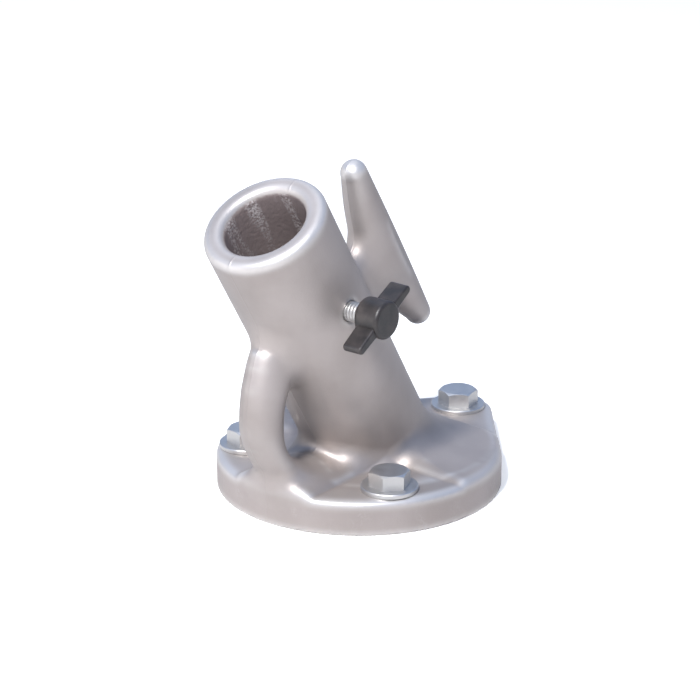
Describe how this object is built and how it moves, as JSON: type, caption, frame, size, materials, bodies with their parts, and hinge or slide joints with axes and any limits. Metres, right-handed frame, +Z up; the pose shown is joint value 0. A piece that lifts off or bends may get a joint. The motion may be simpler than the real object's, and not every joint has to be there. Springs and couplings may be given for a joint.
{
  "type": "mooring whip base",
  "caption": "Cast deck socket that holds a mooring whip's butt at a lean, with a clamp screw, a tie eye and a line cleat.",
  "frame": {"origin": "centre of the flange's round end, on the face that lies on the dock", "axes": "+Z up out of the dock; the socket leans towards -X; the cleat and the flange's nose point to +X; the clamp screw stands on the -Y side; the casting is symmetrical about Y = 0"},
  "size_m": [0.1576, 0.114, 0.1339],
  "materials": {
    "cast_aluminium": "as cast, lightly polished",
    "zinc_plated_steel": "zinc plated, dull",
    "black_plastic": "moulded, satin"
  },
  "bodies": {
    "base": {"base_casting": "cast_aluminium", "bolt_clamp_side": "zinc_plated_steel", "bolt_plain_side": "zinc_plated_steel", "bolt_nose": "zinc_plated_steel", "washer_clamp_side": "zinc_plated_steel", "washer_plain_side": "zinc_plated_steel", "washer_nose": "zinc_plated_steel"},
    "stud": {"clamp_stud": "zinc_plated_steel"},
    "knob": {"clamp_knob": "black_plastic"}
  },
  "joints": [
    {"name": "stud_travel", "type": "slide", "parent": "base", "child": "stud", "axis": [0, 1, 0], "range_m": [-0.0014, 0.0035]},
    {"name": "knob_turn", "type": "hinge", "parent": "stud", "child": "knob", "pos_m": [-0.03542, -0.037, 0.08603], "axis": [0, 1, 0], "range_deg": [-360, 900]}
  ],
  "couplings": [
    {"joint": "knob_turn", "follows": "stud_travel", "rad_per_m": 4453}
  ]
}
